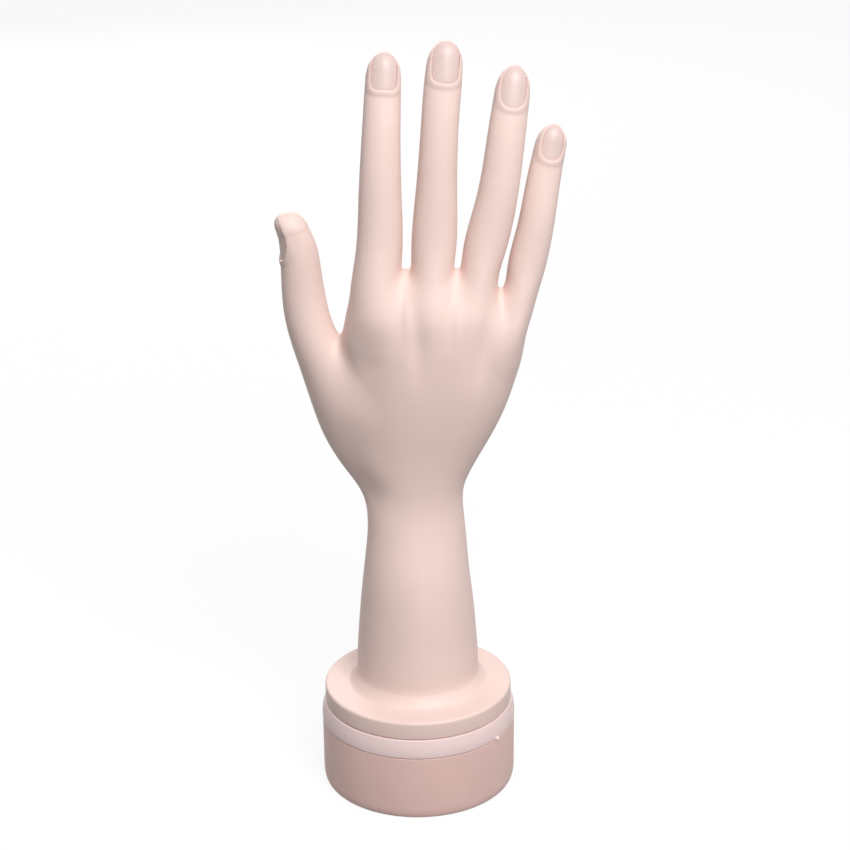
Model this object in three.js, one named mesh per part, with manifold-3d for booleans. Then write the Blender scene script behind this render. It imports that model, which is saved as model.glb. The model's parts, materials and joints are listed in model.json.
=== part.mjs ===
// Posable display hand: a soft hand on a short forearm that turns on a round weighted foot.
// Inside, a jointed armature holds every finger where it is bent.
// Millimetres, +Z up, back of the hand towards -Y, thumb towards -X.
// The origin is the centre of the underside of the foot pad.

import * as THREE from "three";
import { mergeVertices } from "three/addons/utils/BufferGeometryUtils.js";
import Module from "manifold-3d";

// Clearances
const seatGap = 0.3; // between pieces that sit on or in each other
const knuckleGap = 0.4; // between a knuckle and its socket
const pinGap = 0.25; // around a pin in its holes
const bendSlack = 3; // degrees a slot is longer than the bend it lets through
const overrun = 1; // cuts and hidden ends run this far past the surface they meet

// Foot
const drumRadius = 40;
const drumHeight = 27.1;
const drumEdge = 0.8; // chamfer of its lower edge
const drumWall = 2.6;
const drumTopPlate = 3;
const padHeight = 3;
const padProud = 0.6; // how far the pad stands below the drum
const collarHeight = 8.2;
const collarFootInset = 0.4; // its foot lies this far inside the drum's side
const collarLipProud = 0.5; // its lip stands this far outside it
const collarLip = 1.4; // height of the lip at its top
const collarEdge = 0.5; // rounding of the lip
const flangeStep = 1.6; // from the collar's lip in to the side of the flange
const flangeHeight = 7;
const flangeEdge = 1.6; // rounding of its top edge
const flangeFillet = 5.2; // sweep from the flange up into the forearm

// Centre bolt
const boltRadius = 3;
const boltHeadRadius = 5.8;
const boltHeadHeight = 4;
const nutRadius = 5.6;
const nutHeight = 5;
const boltEnd = 2; // past the nut
const hexSides = 6;

// Forearm
const forearmFootRadius = 25.2;
const forearmLength = 80.5; // from the flange up to the wrist
const forearmShinRise = 38.5; // from the flange up to its measured section
const forearmShinRadius = 22.9;
const forearmWaist = 0.4; // how much slimmer it is than a straight taper from shin to wrist
const wristHalfWidth = 19.2;
const wristHalfDepth = 15.6;
const corePostRadius = 9.4;
const coreFootRadius = 24;
const coreFootHeight = 3.6;
const coreFloor = 7; // solid bottom of the post, above its foot
const coreTopDrop = 12; // from the wrist down to the top of the post
const stemRadius = 6;
const stemLength = 34; // of the palm plate's stem, down into the post
const stemLap = 6; // of the stem, up over the plate

// Palm plate
const plateThickness = 4;
const plateDepthPlace = -1; // its middle plane, away from the palm
const plateFootRise = 4; // from the wrist up to where the stem ends and the plate begins
const plateFootWidth = 13;
const plateDrop = 25; // from a finger root down to the edge of the plate
const plateInset = 5; // its outer edge, inwards from the little finger's root
const plateShoulder = 5; // height of its upright edge there
const plateOverhang = 4; // its other edge, outwards from the index finger's root
const fingerArm = 30; // length of the arm from the plate to a finger root
const thumbArm = 16;
const thumbStrutRise = 12; // from the plate's foot up to where the thumb's strut leaves it
const thumbStrutLap = 3; // of the strut over the thumb's arm

// Armature links
const eyeRadius = 2.6;
const eyeWidth = 2.4;
const cheekWidth = 1.3;
const bridgeLength = 2.4;
const linkThickness = 3.6;
const bridgeBite = 0.5; // a link starts this far inside its bridge
const pinRadius = 0.8;
const hingeDrop = 1.5; // hinge axes lie this far on the palm side of a finger's middle
const knuckleProud = 0.5; // a knuckle's round is this much larger than the finger's back
const boneTipCover = 9; // soft tip beyond the last bone

// Nail plates
const nailThickness = 2.2; // at its crown; it thins out towards its sides
const nailProud = 0.25;
const nailEndInset = 1.2; // from the fingertip back to the free edge
const nailRootCurve = 0.7; // height of its curved root, as a share of half its width
const nailEndCurve = 0.8; // height of its curved free edge, as the same share

// Bends, in degrees
const fingerRootBend = 70;
const fingerMiddleBend = 80;
const fingerEndBend = 45;
const thumbRootBend = 40;
const thumbEndBend = 45;

// Fingers. A knuckle's rise is its height above the wrist, and its depth is towards the palm.
// Widths and depths are full sizes: at the web, the joints, the nail's base and the tip.
// lean is the angle of each segment away from the upright, to the little finger's side,
// bow the angle towards the palm, and round the height of the rounded end.
const fingers = {
  index: {
    knuckle: { across: -12.9, depth: -2.4, rise: 107 },
    lengths: { proximal: 21.5, middle: 29.5, distal: 25.8 },
    lean: { proximal: 1.9, middle: 2.2, distal: 2.8 },
    bow: { proximal: 3, middle: 7, distal: 11 },
    width: { crotch: 18, knuckle: 17.3, middle: 15.7, end: 13.6, nail: 12.9, tip: 11.6 },
    depth: { crotch: 17, knuckle: 16, middle: 14.6, end: 12.4, nail: 10.6, tip: 9.1 },
    nail: { length: 14.5, width: 9.4 },
    round: 5.8,
  },
  middle: {
    knuckle: { across: 8.4, depth: -2.8, rise: 107 },
    lengths: { proximal: 23, middle: 31, distal: 27.6 },
    lean: { proximal: 3.2, middle: 3.4, distal: 4 },
    bow: { proximal: 3, middle: 6, distal: 10 },
    width: { crotch: 17.2, knuckle: 16.1, middle: 14.5, end: 13.5, nail: 13.1, tip: 11.8 },
    depth: { crotch: 17, knuckle: 16, middle: 14.4, end: 12.3, nail: 10.6, tip: 9.1 },
    nail: { length: 16.5, width: 9.8 },
    round: 5.8,
  },
  ring: {
    knuckle: { across: 28.3, depth: -2, rise: 106 },
    lengths: { proximal: 21.5, middle: 24.3, distal: 27.4 },
    lean: { proximal: 12.6, middle: 8.4, distal: 5.8 },
    bow: { proximal: 3, middle: 7, distal: 11 },
    width: { crotch: 16, knuckle: 15.3, middle: 14.4, end: 13.4, nail: 12.6, tip: 11.3 },
    depth: { crotch: 16, knuckle: 15.2, middle: 13.8, end: 12, nail: 10.2, tip: 8.8 },
    nail: { length: 15.5, width: 9.4 },
    round: 5.6,
  },
  little: {
    knuckle: { across: 44.1, depth: -0.4, rise: 98.5 },
    lengths: { proximal: 16.5, middle: 17.8, distal: 23.3 },
    lean: { proximal: 13.4, middle: 9.2, distal: 9.2 },
    bow: { proximal: 4, middle: 8, distal: 12 },
    width: { crotch: 14.6, knuckle: 14, middle: 13.1, end: 12, nail: 11.5, tip: 10.3 },
    depth: { crotch: 14.6, knuckle: 13.6, middle: 12.4, end: 10.8, nail: 9.4, tip: 8.1 },
    nail: { length: 13, width: 8.4 },
    round: 5.2,
  },
};
const fingerRootDepth = 20; // of a finger's form below its knuckle, inside the palm
const crotchDrop = 8.5; // from a knuckle down to the web of skin beside it

// Thumb. Its width lies towards the back of the hand, because its nail faces outwards.
const thumb = {
  knuckle: { across: -40.8, depth: 6, rise: 78 },
  lengths: { proximal: 18.2, distal: 26.6 },
  lean: { proximal: -9.5, distal: -10.5 },
  width: { root: 21, upper: 19.5, knuckle: 18, end: 16.4, nail: 15, tip: 12.6 },
  depth: { root: 20, upper: 19.2, knuckle: 17.8, end: 14.8, nail: 13.6, tip: 10.9 },
  nail: { length: 16.5, width: 10.5 },
  round: 6.8,
};
const thumbNailTurn = 16; // degrees the nail is turned from the side towards the back of the hand
const thumbPadSag = 1.6; // the soft pad swells this far away from the nail
const thumbHeelRise = 4; // from the wrist up to where the thumb's root runs out
const thumbHeelAcross = -11;
const thumbHeelDepth = 3;
const thumbHeelWidth = 17;
const thumbBellyRise = 34; // from the wrist up to the fullest place of the ball of the thumb
const thumbBellyAcross = -26.6;
const thumbBellyDepth = 6;
const thumbUpperPlace = 0.6; // of its upper root section, as a share of the way from belly to knuckle

// Palm sections: rise above the wrist, then how far the skin reaches each way from the origin
const palmSections = [
  { rise: 10, thumbSide: 21.5, littleSide: 19.6, back: 15.2, front: 15.2 },
  { rise: 23, thumbSide: 25, littleSide: 26.6, back: 15.8, front: 14.6 },
  { rise: 37, thumbSide: 26.5, littleSide: 33.4, back: 16.4, front: 13.4 },
  { rise: 55, thumbSide: 28, littleSide: 40, back: 16.8, front: 11.8 },
  { rise: 67, thumbSide: 30.5, littleSide: 42.8, back: 16.6, front: 10.8 },
  { rise: 75, thumbSide: 26.2, littleSide: 44.5, back: 15.8, front: 10.2 },
  { rise: 87, thumbSide: 24.4, littleSide: 47, back: 13.6, front: 9.4 },
];
const palmTopRise = 93; // from the wrist up to the palm's upper edge, just under the webs
const palmTopTilt = 9; // degrees the upper edge falls towards the little finger
const palmTopDraw = 4.5; // how much its last section draws in all round

// Facets
const fingerPoints = 12; // around a finger
const palmPoints = 20; // around the palm and the forearm
const roundSteps = 16; // around a knuckle
const wheelSteps = 32; // around the foot
const edgeSteps = 2; // in a rounded edge
const filletSteps = 3; // in the sweep from the flange to the forearm
const hiddenSteps = 24; // around what the foot and the forearm hide
const tipRings = [0.5, 0.8, 0.96]; // places of the rings in a fingertip's round, as shares of its height
const arcSteps = 4; // in half of a small disc
const endSteps = 2; // in a quarter of a rounded end
const boltSteps = 12; // around the bolt
const cutReach = 130; // size of the blocks that part one segment from the next

const wasm = await Module();
wasm.setup();
const UP = new THREE.Vector3(0, 0, 1);
const PALMWARD = new THREE.Vector3(0, 1, 0);
const ACROSS = new THREE.Vector3(1, 0, 0);

const vinyl = new THREE.MeshStandardMaterial({ color: 0xe9c9c0, roughness: 0.5 });
const footVinyl = new THREE.MeshStandardMaterial({ color: 0xcfaaa2, roughness: 0.5 });
const collarVinyl = new THREE.MeshStandardMaterial({ color: 0xe6cac6, roughness: 0.45 });
const nailPlastic = new THREE.MeshStandardMaterial({ color: 0xd8c3b8, roughness: 0.3 });
const linkNylon = new THREE.MeshStandardMaterial({ color: 0x9a9a96, roughness: 0.6 });
const steel = new THREE.MeshStandardMaterial({ color: 0x8d9096, roughness: 0.35, metalness: 1 });
const padRubber = new THREE.MeshStandardMaterial({ color: 0x35322f, roughness: 0.9 });

const hand = new THREE.Group();

// A solid of a closed geometry
function solid(geometry, place = new THREE.Matrix4()) {
  const bare = geometry.clone();
  bare.deleteAttribute("normal");
  bare.deleteAttribute("uv");
  bare.applyMatrix4(place);
  const merged = mergeVertices(bare, 1e-4);
  const index = merged.index.array;
  const triangles = [];
  for (let i = 0; i < index.length; i += 3) {
    const [a, b, c] = [index[i], index[i + 1], index[i + 2]];
    if (a !== b && b !== c && c !== a) triangles.push(a, b, c);
  }
  return new wasm.Manifold(
    new wasm.Mesh({
      numProp: 3,
      vertProperties: merged.attributes.position.array,
      triVerts: new Uint32Array(triangles),
    }),
  );
}

function point(across, depth, height) {
  return new THREE.Vector3(across, depth, height);
}

function union(solids) {
  return solids.reduce((sum, next) => sum.add(next));
}

function addPiece(name, shape, material) {
  const made = shape.getMesh();
  const geometry = new THREE.BufferGeometry();
  geometry.setAttribute("position", new THREE.BufferAttribute(made.vertProperties, 3));
  geometry.setIndex(new THREE.BufferAttribute(made.triVerts, 1));
  geometry.computeVertexNormals();
  const mesh = new THREE.Mesh(geometry, material);
  mesh.name = name;
  hand.add(mesh);
}

// A body of revolution about the upright axis, from an outline of [radius, height] points
function turned(outline, steps = wheelSteps) {
  const points = outline.map(([radius, height]) => new THREE.Vector2(radius, height));
  const lathe = new THREE.LatheGeometry(points, steps);
  return solid(lathe, new THREE.Matrix4().makeRotationX(Math.PI / 2));
}

// Points of a rounded outer edge, from its side up to its top
function roundedEdge(radius, top, edge) {
  return Array.from({ length: edgeSteps + 1 }, (_, i) => {
    const angle = (Math.PI / 2) * (i / edgeSteps);
    return [radius - edge * (1 - Math.cos(angle)), top - edge * (1 - Math.sin(angle))];
  });
}

function uprightCylinder(radius, low, high, steps = hiddenSteps) {
  const cylinder = new THREE.CylinderGeometry(radius, radius, high - low, steps);
  const place = new THREE.Matrix4().makeTranslation(0, 0, (low + high) / 2);
  return solid(cylinder, place.multiply(new THREE.Matrix4().makeRotationX(Math.PI / 2)));
}

// A skin drawn over rings of points, closed at both ends
function loft(rings) {
  const count = rings[0].length;
  const points = rings.flat();
  const faces = [];
  for (let i = 0; i + 1 < rings.length; i++) {
    for (let j = 0; j < count; j++) {
      const next = (j + 1) % count;
      const [a, b] = [i * count + j, i * count + next];
      faces.push(a, b, b + count, a, b + count, a + count);
    }
  }
  const middleOf = (ring) =>
    ring.reduce((sum, p) => sum.add(p), new THREE.Vector3()).divideScalar(count);
  const bottom = points.push(middleOf(rings[0])) - 1;
  const top = points.push(middleOf(rings.at(-1))) - 1;
  const last = (rings.length - 1) * count;
  for (let j = 0; j < count; j++) {
    const next = (j + 1) % count;
    faces.push(bottom, next, j, top, last + j, last + next);
  }
  const geometry = new THREE.BufferGeometry().setFromPoints(points);
  geometry.setIndex(faces);
  return solid(geometry);
}

// An oval ring; across, depth and the way along make a right-handed set
function ovalRing(centre, across, depth, halfWidth, halfDepth, count) {
  const ring = [];
  for (let j = 0; j < count; j++) {
    const angle = (2 * Math.PI * j) / count;
    const point = centre.clone();
    point.addScaledVector(across, halfWidth * Math.cos(angle));
    point.addScaledVector(depth, halfDepth * Math.sin(angle));
    ring.push(point);
  }
  return ring;
}

// The frame of a hinge: x across the finger, y towards the palm, z towards the tip
function hingeFrame(place, along, palmward) {
  const across = new THREE.Vector3().crossVectors(palmward, along).normalize();
  const depth = new THREE.Vector3().crossVectors(along, across).normalize();
  const frame = new THREE.Matrix4().makeBasis(across, depth, along.clone().normalize());
  return frame.setPosition(place);
}

// A plate cut to an outline in a hinge's side plane, its middle on the finger's
function sidePlate(frame, outline, width, shift = 0) {
  const plate = new THREE.ExtrudeGeometry(outline, {
    depth: width,
    bevelEnabled: false,
    curveSegments: arcSteps,
  });
  plate.translate(0, 0, shift - width / 2);
  const sidePlane = new THREE.Matrix4().makeBasis(
    new THREE.Vector3(0, 1, 0),
    new THREE.Vector3(0, 0, 1),
    new THREE.Vector3(1, 0, 0),
  );
  return solid(plate, frame.clone().multiply(sidePlane));
}

function disc(radius) {
  return new THREE.Shape().absarc(0, 0, radius, 0, 2 * Math.PI);
}

// A link's outline: a round end about the hinge, and straight sides that run to the far end
function keyhole(radius, half, end, hole) {
  const way = Math.sign(end);
  const corner = Math.asin(half / radius);
  const outline = new THREE.Shape();
  outline.moveTo(half * way, end);
  outline.lineTo(-half * way, end);
  const start = (Math.PI / 2) * way + corner;
  outline.absarc(0, 0, radius, start, start + 2 * Math.PI - 2 * corner);
  outline.closePath();
  if (hole) outline.holes.push(new THREE.Path().absarc(0, 0, hole, 0, 2 * Math.PI));
  return outline;
}

const hingeWidth = eyeWidth + 2 * (seatGap + cheekWidth);
const bridgeStart = eyeRadius + seatGap;
const bridgeEnd = bridgeStart + bridgeLength;
const shankStart = bridgeStart + bridgeBite; // from a hinge to where its bone's shank starts

// A fork at a hinge: two cheeks either side of the eye, joined by a bridge beyond it
function fork(frame) {
  const cheek = keyhole(eyeRadius, linkThickness / 2, bridgeEnd, pinRadius + pinGap);
  const cheekShift = (hingeWidth - cheekWidth) / 2;
  const bridge = new THREE.BoxGeometry(hingeWidth, linkThickness, bridgeLength);
  bridge.translate(0, 0, (bridgeStart + bridgeEnd) / 2);
  return union([
    sidePlate(frame, cheek, cheekWidth, -cheekShift),
    sidePlate(frame, cheek, cheekWidth, cheekShift),
    solid(bridge, frame),
  ]);
}

// The room that a fork, its pin and the eye in it need
function forkRoom(frame) {
  const outline = keyhole(eyeRadius + seatGap, linkThickness / 2 + seatGap, bridgeEnd + seatGap);
  return sidePlate(frame, outline, hingeWidth + 2 * seatGap);
}

// A flat link that ends in the eye of the next hinge and reaches back towards the one before
function eyeLink(eyeFrame, length, grow = 0) {
  const hole = grow > 0 ? 0 : pinRadius + pinGap;
  const outline = keyhole(eyeRadius + grow, linkThickness / 2 + grow, -length, hole);
  return sidePlate(eyeFrame, outline, eyeWidth + 2 * grow);
}

// A plain bar between two places, as flat as the links
function strut(from, to, palmward, start, grow = 0) {
  const way = to.clone().sub(from);
  const length = way.length() - start + 2 * grow;
  const bar = new THREE.BoxGeometry(eyeWidth + 2 * grow, linkThickness + 2 * grow, length);
  bar.translate(0, 0, start - grow + length / 2);
  return solid(bar, hingeFrame(from, way, palmward));
}

function palmwardOf(joint) {
  return new THREE.Vector3().setFromMatrixColumn(joint.frame, 1);
}

// What a hinge parts from the segment before it: everything beyond its axis, and the knuckle's round
function beyond(joint, grow = 0) {
  const radius = joint.knuckleRadius + grow;
  const halfSpace = new THREE.BoxGeometry(cutReach, cutReach, cutReach);
  halfSpace.translate(0, 0, cutReach / 2);
  const round = new THREE.CylinderGeometry(radius, radius, cutReach, roundSteps);
  round.rotateZ(Math.PI / 2);
  return solid(halfSpace, joint.frame).add(solid(round, joint.frame));
}

// The room in a knuckle for the hinge, and for the link before it as the segment bends
function knuckleRoom(joint) {
  const half = linkThickness / 2 + seatGap;
  const reach = joint.knuckleRadius + overrun;
  const swing = THREE.MathUtils.degToRad(joint.bend + bendSlack);
  const corner = Math.atan(half / reach);
  const rest = -Math.PI / 2;
  const slot = new THREE.Shape();
  slot.moveTo(-half, 0);
  slot.lineTo(-half, -reach);
  slot.absarc(0, 0, Math.hypot(half, reach), rest - corner, rest + swing + corner);
  slot.lineTo(half * Math.cos(swing), half * Math.sin(swing));
  slot.closePath();
  return forkRoom(joint.frame).add(sidePlate(joint.frame, slot, eyeWidth + 2 * seatGap));
}

// Rings of a digit from its root to its rounded tip, drawn through its stations as one smooth curve
function fingerRings(digit, grow = 0) {
  const place = new THREE.CatmullRomCurve3(digit.stations.map((s) => s.centre));
  const last = digit.stations.length - 1;
  const rings = [];
  const addRing = (i, scale, ahead) => {
    const along = place.getTangent(i / last);
    const depth = new THREE.Vector3().crossVectors(along, digit.across).normalize();
    const level = new THREE.Vector3().crossVectors(depth, along).normalize();
    const { centre, width, depth: thickness } = digit.stations[i];
    const middle = centre.clone().addScaledVector(along, ahead);
    const halfWidth = (width / 2 + grow) * scale;
    const halfDepth = (thickness / 2 + grow) * scale;
    rings.push(ovalRing(middle, level, depth, halfWidth, halfDepth, fingerPoints));
  };
  for (let i = 0; i <= last; i++) addRing(i, 1, 0);
  for (const share of tipRings) {
    addRing(last, Math.sqrt(1 - share * share), (digit.tipRound + grow) * share);
  }
  return rings;
}

// Heights, stacked from the surface that the foot stands on
const drumBottom = padProud;
const drumTop = drumBottom + drumHeight;
const collarBottom = drumTop + seatGap;
const collarTop = collarBottom + collarHeight;
const flangeBottom = collarTop + seatGap;
const flangeTop = flangeBottom + flangeHeight;
const wristHeight = flangeTop + forearmLength;
const coreTop = wristHeight - coreTopDrop;
const plateFoot = wristHeight + plateFootRise;
const stemBottom = plateFoot - stemLength;

// Foot pad, weight and drum
const drumBore = drumRadius - drumWall;
const padTop = padHeight;
const boltBore = boltRadius + seatGap;
const weightTop = drumTop - drumTopPlate - seatGap;
const headTop = padTop + seatGap + boltHeadHeight;
addPiece("foot_pad", uprightCylinder(drumBore - seatGap, 0, padTop), padRubber);
addPiece(
  "base_drum",
  turned([
    [drumBore, drumBottom],
    [drumRadius - drumEdge, drumBottom],
    [drumRadius, drumBottom + drumEdge],
    [drumRadius, drumTop],
    [boltBore, drumTop],
    [boltBore, drumTop - drumTopPlate],
    [drumBore, drumTop - drumTopPlate],
    [drumBore, drumBottom],
  ]),
  footVinyl,
);
const headBore = boltHeadRadius + seatGap;
const weightBottom = padTop + seatGap;
const weightOutline = [
  [headBore, weightBottom],
  [drumBore - seatGap, weightBottom],
  [drumBore - seatGap, weightTop],
  [boltBore, weightTop],
  [boltBore, headTop + seatGap],
  [headBore, headTop + seatGap],
  [headBore, weightBottom],
];
addPiece("base_weight", turned(weightOutline, hiddenSteps), steel);

// Collar the flange turns on
const collarFootRadius = drumRadius - collarFootInset;
const collarLipRadius = drumRadius + collarLipProud;
addPiece(
  "turning_collar",
  turned([
    [boltBore, collarBottom],
    [collarFootRadius, collarBottom],
    [collarLipRadius, collarTop - collarLip],
    ...roundedEdge(collarLipRadius, collarTop, collarEdge),
    [boltBore, collarTop],
    [boltBore, collarBottom],
  ]),
  collarVinyl,
);

// Forearm core: a foot that turns on the collar, and a post with a socket for the palm plate's stem
const coreFootTop = flangeBottom + coreFootHeight;
const chamberFloor = coreFootTop + coreFloor;
const socketRadius = stemRadius + seatGap;
function coreOutline(grow) {
  return [
    [0, flangeBottom - grow],
    [coreFootRadius + grow, flangeBottom - grow],
    [coreFootRadius + grow, coreFootTop + grow],
    [corePostRadius + grow, coreFootTop + grow],
    [corePostRadius + grow, coreTop + grow],
    [0, coreTop + grow],
  ];
}
const coreBores = uprightCylinder(boltBore, 0, chamberFloor + overrun).add(
  uprightCylinder(socketRadius, chamberFloor, coreTop + overrun),
);
const coreSolid = turned(coreOutline(0), hiddenSteps);
addPiece("forearm_core", coreSolid.subtract(coreBores), linkNylon);

// Centre bolt and nut
const nutBottom = chamberFloor + seatGap;
const nutTop = nutBottom + nutHeight;
const boltShank = uprightCylinder(boltRadius, headTop - overrun, nutTop + boltEnd, boltSteps);
const boltHead = uprightCylinder(boltHeadRadius, headTop - boltHeadHeight, headTop, hexSides);
addPiece("centre_bolt", boltShank.add(boltHead), steel);
const nutBore = uprightCylinder(boltBore, nutBottom - overrun, nutTop + overrun, boltSteps);
const nutBody = uprightCylinder(nutRadius, nutBottom, nutTop, hexSides);
addPiece("centre_nut", nutBody.subtract(nutBore), steel);

// Forearm skin with its flange
const flangeRadius = collarLipRadius - flangeStep;
const flange = turned([
  [0, flangeBottom],
  [flangeRadius, flangeBottom],
  ...roundedEdge(flangeRadius, flangeTop, flangeEdge),
  [0, flangeTop],
]);
function forearmRing(height, halfWidth, halfDepth) {
  return ovalRing(point(0, 0, height), ACROSS, PALMWARD, halfWidth, halfDepth, palmPoints);
}
const forearmTop = wristHeight - seatGap / 2;
const shinHeight = flangeTop + forearmShinRise;
const filletRadius = forearmFootRadius + flangeFillet;
const forearmRings = [forearmRing(flangeTop - overrun, filletRadius, filletRadius)];
for (let i = 0; i <= filletSteps; i++) {
  const angle = (Math.PI / 2) * (i / filletSteps);
  const radius = filletRadius - flangeFillet * Math.sin(angle);
  const height = flangeTop + flangeFillet * (1 - Math.cos(angle));
  forearmRings.push(forearmRing(height, radius, radius));
}
forearmRings.push(
  forearmRing(shinHeight, forearmShinRadius, forearmShinRadius),
  forearmRing(
    (shinHeight + wristHeight) / 2,
    (forearmShinRadius + wristHalfWidth) / 2 - forearmWaist,
    (forearmShinRadius + wristHalfDepth) / 2 - forearmWaist,
  ),
  forearmRing(forearmTop, wristHalfWidth, wristHalfDepth),
);
addPiece(
  "forearm_skin",
  flange
    .add(loft(forearmRings))
    .subtract(turned(coreOutline(seatGap), hiddenSteps))
    .subtract(uprightCylinder(socketRadius, coreTop, wristHeight + overrun)),
  vinyl,
);

// Finger layout
const digits = [];

// Direction of a segment that leans sideways and bows towards the palm
function direction(leanDegrees, bowDegrees) {
  const lean = THREE.MathUtils.degToRad(leanDegrees);
  const bow = THREE.MathUtils.degToRad(bowDegrees);
  return new THREE.Vector3(
    Math.sin(lean) * Math.cos(bow),
    Math.sin(bow),
    Math.cos(lean) * Math.cos(bow),
  );
}

function addJoint(digit, name, middle, along, palmward, halfDepth, bend) {
  const frame = hingeFrame(middle, along, palmward);
  frame.multiply(new THREE.Matrix4().makeTranslation(0, hingeDrop, 0));
  digit.joints.push({
    name,
    frame,
    bend,
    place: new THREE.Vector3().setFromMatrixPosition(frame),
    knuckleRadius: halfDepth + hingeDrop + knuckleProud,
  });
}

for (const [name, f] of Object.entries(fingers)) {
  const knuckle = point(f.knuckle.across, f.knuckle.depth, wristHeight + f.knuckle.rise);
  const ways = ["proximal", "middle", "distal"].map((s) => direction(f.lean[s], f.bow[s]));
  const middleJoint = knuckle.clone().addScaledVector(ways[0], f.lengths.proximal);
  const endJoint = middleJoint.clone().addScaledVector(ways[1], f.lengths.middle);
  const tip = endJoint.clone().addScaledVector(ways[2], f.lengths.distal);
  const nailBase = tip.clone().addScaledVector(ways[2], -f.nail.length - nailEndInset);
  const roundStart = tip.clone().addScaledVector(ways[2], -f.round);
  const below = (drop) => knuckle.clone().addScaledVector(ways[0], -drop);
  const station = (centre, place) => ({ centre, width: f.width[place], depth: f.depth[place] });
  const digit = {
    name,
    joints: [],
    segments: ["proximal", "middle", "distal"],
    nailOut: new THREE.Vector3().crossVectors(ACROSS, ways[2]).normalize(),
    across: ACROSS,
    tip,
    tipWay: ways[2],
    tipRound: f.round,
    nail: f.nail,
    nailBack: f.depth.nail / 2,
    armLength: fingerArm,
    rootWidth: Math.max(f.width.crotch, f.width.knuckle),
    stations: [
      station(below(fingerRootDepth), "crotch"),
      station(below(crotchDrop), "crotch"),
      station(knuckle, "knuckle"),
      station(middleJoint, "middle"),
      station(endJoint, "end"),
      station(nailBase, "nail"),
      station(roundStart, "tip"),
    ],
  };
  const mean = (a, b) => a.clone().add(b).normalize();
  const middleWay = mean(ways[0], ways[1]);
  const endWay = mean(ways[1], ways[2]);
  addJoint(digit, "root", knuckle, ways[0], PALMWARD, f.depth.knuckle / 2, fingerRootBend);
  addJoint(digit, "middle", middleJoint, middleWay, PALMWARD, f.depth.middle / 2, fingerMiddleBend);
  addJoint(digit, "end", endJoint, endWay, PALMWARD, f.depth.end / 2, fingerEndBend);
  digits.push(digit);
}

// Thumb layout
const thumbTurn = THREE.MathUtils.degToRad(thumbNailTurn);
const thumbPadward = new THREE.Vector3(Math.cos(thumbTurn), Math.sin(thumbTurn), 0);
function layThumb(t) {
  const knuckle = point(t.knuckle.across, t.knuckle.depth, wristHeight + t.knuckle.rise);
  const ways = [direction(t.lean.proximal, 0), direction(t.lean.distal, 0)];
  const endJoint = knuckle.clone().addScaledVector(ways[0], t.lengths.proximal);
  const tip = endJoint.clone().addScaledVector(ways[1], t.lengths.distal);
  const nailBase = tip.clone().addScaledVector(ways[1], -t.nail.length - nailEndInset);
  const roundStart = tip.clone().addScaledVector(ways[1], -t.round);
  const heel = point(thumbHeelAcross, thumbHeelDepth, wristHeight + thumbHeelRise);
  const belly = point(thumbBellyAcross, thumbBellyDepth, wristHeight + thumbBellyRise);
  const upper = belly.clone().lerp(knuckle, thumbUpperPlace);
  const pad = nailBase.clone().lerp(roundStart, 0.5).addScaledVector(thumbPadward, thumbPadSag);
  const station = (centre, place) => ({ centre, width: t.width[place], depth: t.depth[place] });
  const digit = {
    name: "thumb",
    joints: [],
    segments: ["proximal", "distal"],
    nailOut: thumbPadward.clone().negate(),
    across: new THREE.Vector3().crossVectors(thumbPadward, UP).normalize(),
    tip,
    tipWay: ways[1],
    tipRound: t.round,
    nail: t.nail,
    nailBack: t.depth.nail / 2 - thumbPadSag,
    armLength: thumbArm,
    rootWidth: t.width.knuckle,
    stations: [
      { centre: heel, width: thumbHeelWidth, depth: thumbHeelWidth },
      station(belly, "root"),
      station(upper, "upper"),
      station(knuckle, "knuckle"),
      station(endJoint, "end"),
      station(pad, "nail"),
      station(roundStart, "tip"),
    ],
  };
  addJoint(digit, "root", knuckle, ways[0], PALMWARD, t.width.knuckle / 2, thumbRootBend);
  addJoint(digit, "end", endJoint, ways[0], thumbPadward, t.depth.end / 2, thumbEndBend);
  return digit;
}
const thumbDigit = layThumb(thumb);
digits.push(thumbDigit);

// Nail outline in the plane of the nail: x across, y towards the tip, straight sides and curved ends
function nailOutline(nail, grow) {
  const half = nail.width / 2 + grow;
  const end = grow - nailEndInset;
  const start = -nailEndInset - nail.length - grow;
  const rootCurve = half * nailRootCurve;
  const endCurve = half * nailEndCurve;
  const outline = new THREE.Shape();
  outline.moveTo(-half, start + rootCurve);
  outline.absellipse(0, start + rootCurve, half, rootCurve, Math.PI, 2 * Math.PI);
  outline.lineTo(half, end - endCurve);
  outline.absellipse(0, end - endCurve, half, endCurve, 0, Math.PI);
  outline.closePath();
  return outline;
}

// A prism of the nail outline that stands from the nail's flat bed out through the back of the finger
function nailPrism(digit, grow) {
  const prism = new THREE.ExtrudeGeometry(nailOutline(digit.nail, grow), {
    depth: digit.nailBack + nailThickness,
    bevelEnabled: false,
    curveSegments: endSteps,
  });
  const out = digit.nailOut;
  const across = new THREE.Vector3().crossVectors(digit.tipWay, out).normalize();
  const frame = new THREE.Matrix4().makeBasis(across, digit.tipWay, out);
  const bedHeight = digit.nailBack + nailProud - nailThickness - grow;
  return solid(prism, frame.setPosition(digit.tip.clone().addScaledVector(out, bedHeight)));
}

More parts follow.
